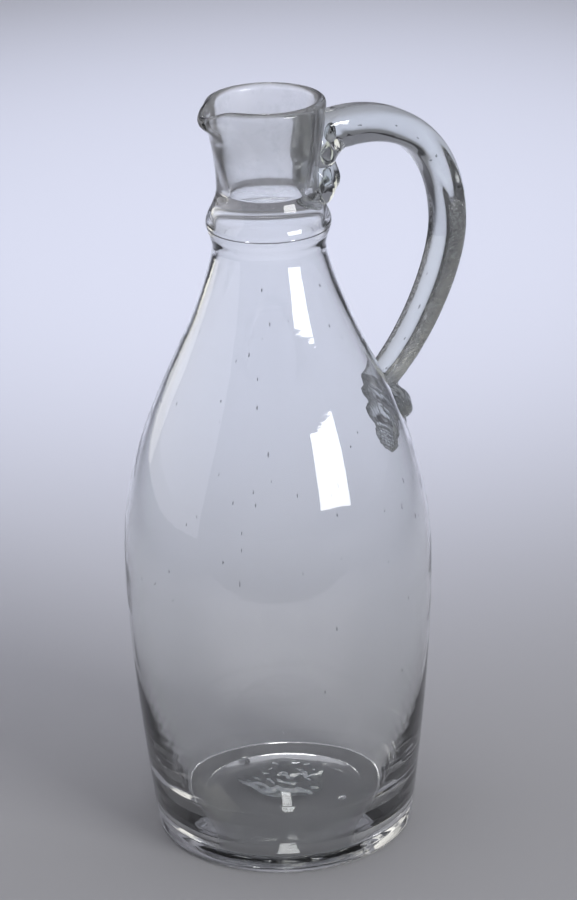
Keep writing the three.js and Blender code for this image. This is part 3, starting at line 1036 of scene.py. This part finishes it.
# Glass snapped cold from the holding rod: bright shell-like faces under a fine grain of chips
def snapped_glass_material():
    material, tree = new_material("snapped_soda_glass_scar")
    place = add_node(tree, "ShaderNodeTexCoord")
    chips = add_node(
        tree, "ShaderNodeTexNoise",
        {"Scale": per_metre(CHIP_SIZE), "Detail": 4, "Roughness": 0.6},
        {"Vector": place.outputs["Object"]},
    )
    bump = add_node(
        tree, "ShaderNodeBump", {"Strength": GRAIN_STRENGTH, "Distance": CHIP_DEPTH * MM},
        {"Height": chips.outputs["Fac"]},
    )
    shader = glass_shader(tree, SCAR_GLASS, bump, CHIP_ROUGHNESS)
    add_node(tree, "ShaderNodeOutputMaterial", None, {"Surface": shader.outputs["BSDF"]})
    return material


def grind_bore(piece, material):
    """Gives the ground material to the bore's own faces, inside the lip and above the chamber."""
    piece.data.materials.append(material)
    for face in piece.data.polygons:
        middle = face.center
        radius = math.hypot(middle.x - AXIS_X, middle.y - AXIS_Y) / MM
        height = middle.z / MM
        facing_in = face.normal.x * (middle.x - AXIS_X) + face.normal.y * (middle.y - AXIS_Y) < 0
        if facing_in and radius < LIP_RADIUS + SPOUT_REACH and height > LAP_HEIGHT + CHAMBER_RISE:
            face.material_index = 1


def finish_piece(piece, node_name, material):
    piece.data.materials.clear()
    piece.data.materials.append(material)
    make_active(piece)
    bpy.ops.object.shade_smooth_by_angle(angle=SMOOTH_ANGLE)
    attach(piece, "root")
    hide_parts(node_name)


# Studio: lengths in metres, and directions in degrees as seen from the object

LIGHT_BOUNCES = 32
GLASS_BOUNCES = 28
MIRROR_BOUNCES = 8
CAMERA_AZIMUTH = -31
CAMERA_DISTANCE = 0.76
CAMERA_TILT = 23.32
CAMERA_ROLL = 1.66
PICTURE_WIDTH = 577
PICTURE_HEIGHT = 900
FOCAL_PIXELS = 3092
AIM_PIXEL = (275.8, 471.3)
SENSOR_MM = 36

# Paper on the floor, darkened by painted shade to the sides and in front of the cruet
PAPER = "#BCBCBE"
PAPER_PAINTED_SHADE = "#3A3A3E"
PAINTED_SHADE_HALF_WIDTHS = (0.16, 0.34)
PAINTED_SHADE_FRONT = (0.23, 0.25)
PAPER_ROUGHNESS = 0.9
FLOOR_SIZE = 6
FLOOR_SIDES = 96

# The room round the set: dark on the camera's side, paler behind, with a pale ceiling
ROOM_NEAR = "#1E1E22"
ROOM_FAR = "#86868F"
CEILING = "#D4D4DC"
WORLD_SPAN = (-0.4, 0.4)
CEILING_SPAN = (0.55, 0.9)

# Lamps: the azimuths and the elevations that each fills, its distance, the radiance of its face
KEY = ((34.5, 59.9), (4.5, 21.9), 1.5, 13)
KEY_ROLL = -4.5
LEFT_PANEL = ((-142, -58), (-7, 45), 0.75, 0.88)
LEFT_EDGE = ((-152, -122), (-7, 45), 0.8, 0.95)
LEFT_EDGE_COLOUR = "#FFFCF0"
REAR = ((178.8, 181.2), (38, 46), 1.5, 9)
OVERHEAD_HEIGHT = 1.5
OVERHEAD_SIZE = 0.8
OVERHEAD_RADIANCE = 0.6
FILL_FORWARD = 0.18
FILL_HEIGHT = 0.35
FILL_SIZES = (0.34, 0.08)
FILL_RADIANCE = 4
FILL_SPREAD = 30
BACKDROP_WATTS = 99
BACKDROP_COLOUR = "#E2E8FF"
BACKDROP_CONE = 37
BACKDROP_SOURCE = 0.1
BACKDROP_BACK = 0.5
BACKDROP_HEIGHT = 1.4
BACKDROP_FORWARD = 0.2


def direction(azimuth, elevation):
    """From the object: azimuth 0 points at the camera, and grows to the picture's right."""
    turn = math.radians(CAMERA_AZIMUTH)
    towards = Vector((math.sin(turn), -math.cos(turn), 0))
    right = Vector((math.cos(turn), math.sin(turn), 0))
    a = math.radians(azimuth)
    e = math.radians(elevation)
    flat = towards * math.cos(a) + right * math.sin(a)
    return flat * math.cos(e) + Vector((0, 0, math.sin(e)))


def soft_light(name, place, target, width, height, radiance, code="#FFFFFF"):
    """A rectangular soft light, from the brightness of its face."""
    data = bpy.data.lights.new(name, "AREA")
    data.shape = "RECTANGLE"
    data.size = width
    data.size_y = height
    data.energy = radiance * math.pi * width * height
    data.color = colour(code)[:3]
    light = bpy.data.objects.new(name, data)
    bpy.context.collection.objects.link(light)
    light.location = place
    light.rotation_mode = "QUATERNION"
    light.rotation_quaternion = (Vector(target) - Vector(place)).to_track_quat("-Z", "Y")
    return light


def make_camera():
    roll = math.radians(CAMERA_ROLL)
    back = direction(0, CAMERA_TILT)
    aim = Vector(placed(0, 0, MOUTH_HEIGHT / 2))
    right = direction(90, 0)
    up = back.cross(right)
    across = right * math.cos(roll) - up * math.sin(roll)
    upward = right * math.sin(roll) + up * math.cos(roll)
    data = bpy.data.cameras.new("camera")
    data.lens = FOCAL_PIXELS * SENSOR_MM / PICTURE_HEIGHT
    data.sensor_width = SENSOR_MM
    data.shift_x = (PICTURE_WIDTH / 2 - AIM_PIXEL[0]) / PICTURE_HEIGHT
    data.shift_y = (AIM_PIXEL[1] - PICTURE_HEIGHT / 2) / PICTURE_HEIGHT
    camera = bpy.data.objects.new("camera", data)
    bpy.context.collection.objects.link(camera)
    axes = Matrix((across, upward, back)).transposed().to_4x4()
    axes.translation = aim + back * CAMERA_DISTANCE
    camera.matrix_world = axes
    bpy.context.scene.camera = camera


def make_floor():
    deselect_all()
    bpy.ops.mesh.primitive_circle_add(
        vertices=FLOOR_SIDES, radius=FLOOR_SIZE, fill_type="NGON", location=(0, 0, 0)
    )
    floor = bpy.context.object
    floor.name = "studio_floor"
    material, tree = new_material("matt_paper_with_painted_shade")
    place = add_node(tree, "ShaderNodeTexCoord")
    # Painted shade: the paper's colour turns dark grey to the sides and in front of the cruet,
    # standing in for light falling off there
    across = add_node(
        tree, "ShaderNodeVectorMath", {1: direction(90, 0)}, {0: place.outputs["Object"]},
        operation="DOT_PRODUCT",
    )
    aside = add_node(tree, "ShaderNodeMath", None, {0: across.outputs["Value"]}, operation="ABSOLUTE")
    side = add_node(
        tree, "ShaderNodeMapRange",
        {"From Min": PAINTED_SHADE_HALF_WIDTHS[0], "From Max": PAINTED_SHADE_HALF_WIDTHS[1]},
        {"Value": aside.outputs["Value"]}, interpolation_type="SMOOTHSTEP",
    )
    forward = add_node(
        tree, "ShaderNodeVectorMath", {1: direction(0, 0)}, {0: place.outputs["Object"]},
        operation="DOT_PRODUCT",
    )
    front = add_node(
        tree, "ShaderNodeMapRange", {"From Min": PAINTED_SHADE_FRONT[0], "From Max": PAINTED_SHADE_FRONT[1]},
        {"Value": forward.outputs["Value"]}, interpolation_type="SMOOTHSTEP",
    )
    share = add_node(
        tree, "ShaderNodeMath", None, {0: side.outputs["Result"], 1: front.outputs["Result"]},
        operation="MAXIMUM",
    )
    tone = add_node(
        tree, "ShaderNodeMix", {"A": colour(PAPER), "B": colour(PAPER_PAINTED_SHADE)},
        {"Factor": share.outputs["Value"]}, data_type="RGBA",
    )
    shader = add_node(
        tree, "ShaderNodeBsdfPrincipled", {"Roughness": PAPER_ROUGHNESS},
        {"Base Color": tone.outputs["Result"]},
    )
    add_node(tree, "ShaderNodeOutputMaterial", None, {"Surface": shader.outputs["BSDF"]})
    floor.data.materials.append(material)


def panel_between(name, azimuths, elevations, distance, radiance, code="#FFFFFF"):
    """A soft light that fills a span of directions as the object sees them."""
    azimuth = sum(azimuths) / 2
    elevation = sum(elevations) / 2
    width = 2 * distance * math.tan(math.radians(abs(azimuths[1] - azimuths[0]) / 2))
    height = 2 * distance * math.tan(math.radians(abs(elevations[1] - elevations[0]) / 2))
    centre = Vector(placed(0, 0, MOUTH_HEIGHT / 2))
    place = centre + direction(azimuth, elevation) * distance
    return soft_light(name, place, centre, width, height, radiance, code)


def make_lamps():
    """Soft lamps. Some are kept off the paper, out of reflections or out of the view through glass."""
    key = panel_between("key_light", *KEY)
    key.rotation_quaternion @= Quaternion((0, 0, 1), math.radians(KEY_ROLL))
    key.visible_transmission = False
    panel = panel_between("left_panel", *LEFT_PANEL)
    panel.visible_diffuse = False
    panel.visible_transmission = False
    edge = panel_between("left_edge_panel", *LEFT_EDGE, LEFT_EDGE_COLOUR)
    edge.visible_diffuse = False
    edge.visible_glossy = False
    rear = panel_between("rear_light", *REAR)
    rear.visible_diffuse = False
    foot = Vector((AXIS_X, AXIS_Y, 0))
    above = foot + Vector((0, 0, OVERHEAD_HEIGHT))
    sizes = (OVERHEAD_SIZE, OVERHEAD_SIZE)
    overhead = soft_light("overhead_light", above, foot, *sizes, OVERHEAD_RADIANCE)
    overhead.visible_glossy = False
    overhead.visible_transmission = False
    front = foot + direction(0, 0) * FILL_FORWARD
    above = front + Vector((0, 0, FILL_HEIGHT))
    fill = soft_light("front_fill", above, front, *FILL_SIZES, FILL_RADIANCE)
    fill.data.spread = math.radians(FILL_SPREAD)
    fill.rotation_quaternion = Quaternion((0, 0, 1), math.radians(CAMERA_AZIMUTH))
    fill.visible_glossy = False
    fill.visible_transmission = False


def make_backdrop_light():
    """A cool round pool of light on the paper behind the cruet."""
    data = bpy.data.lights.new("backdrop_light", "SPOT")
    data.energy = BACKDROP_WATTS
    data.color = colour(BACKDROP_COLOUR)[:3]
    data.spot_size = math.radians(BACKDROP_CONE)
    data.spot_blend = 1
    data.shadow_soft_size = BACKDROP_SOURCE
    light = bpy.data.objects.new("backdrop_light", data)
    bpy.context.collection.objects.link(light)
    pool = Vector((AXIS_X, AXIS_Y, 0)) + direction(180, 0) * BACKDROP_BACK
    light.location = pool + Vector((0, 0, BACKDROP_HEIGHT)) + direction(0, 0) * BACKDROP_FORWARD
    light.rotation_mode = "QUATERNION"
    light.rotation_quaternion = (pool - light.location).to_track_quat("-Z", "Y")
    light.visible_glossy = False
    light.visible_transmission = False


def make_room():
    world = bpy.data.worlds.new("studio")
    bpy.context.scene.world = world
    world.use_nodes = True
    tree = world.node_tree
    tree.nodes.clear()
    place = add_node(tree, "ShaderNodeTexCoord")
    parts = add_node(tree, "ShaderNodeSeparateXYZ", None, {"Vector": place.outputs["Generated"]})
    behind = add_node(
        tree, "ShaderNodeVectorMath", {1: direction(180, 0)}, {0: place.outputs["Generated"]},
        operation="DOT_PRODUCT",
    )
    depth = add_node(
        tree, "ShaderNodeMapRange", {"From Min": WORLD_SPAN[0], "From Max": WORLD_SPAN[1]},
        {"Value": behind.outputs["Value"]},
    )
    room = add_node(
        tree, "ShaderNodeMix", {"A": colour(ROOM_NEAR), "B": colour(ROOM_FAR)},
        {"Factor": depth.outputs["Result"]}, data_type="RGBA",
    )
    height = add_node(
        tree, "ShaderNodeMapRange", {"From Min": CEILING_SPAN[0], "From Max": CEILING_SPAN[1]},
        {"Value": parts.outputs["Z"]},
    )
    sky = add_node(
        tree, "ShaderNodeMix", {"B": colour(CEILING)},
        {"Factor": height.outputs["Result"], "A": room.outputs["Result"]}, data_type="RGBA",
    )
    background = add_node(
        tree, "ShaderNodeBackground", {"Strength": 1}, {"Color": sky.outputs["Result"]}
    )
    add_node(tree, "ShaderNodeOutputWorld", None, {"Surface": background.outputs["Background"]})


def main():
    scene = bpy.context.scene
    scene.view_settings.view_transform = "Standard"
    scene.cycles.max_bounces = LIGHT_BOUNCES
    scene.cycles.transmission_bounces = GLASS_BOUNCES
    scene.cycles.glossy_bounces = MIRROR_BOUNCES
    scene.cycles.use_denoising = True
    glass = blown_glass_material()
    finish_piece(make_bottle(), "body", glass)
    mouth = make_mouth()
    finish_piece(mouth, "mouth", glass)
    grind_bore(mouth, ground_glass_material())
    finish_piece(make_handle(), "handle", drawn_glass_material())
    finish_piece(make_scar(), "pontil_scar", snapped_glass_material())
    make_floor()
    make_lamps()
    make_backdrop_light()
    make_room()
    make_camera()


main()
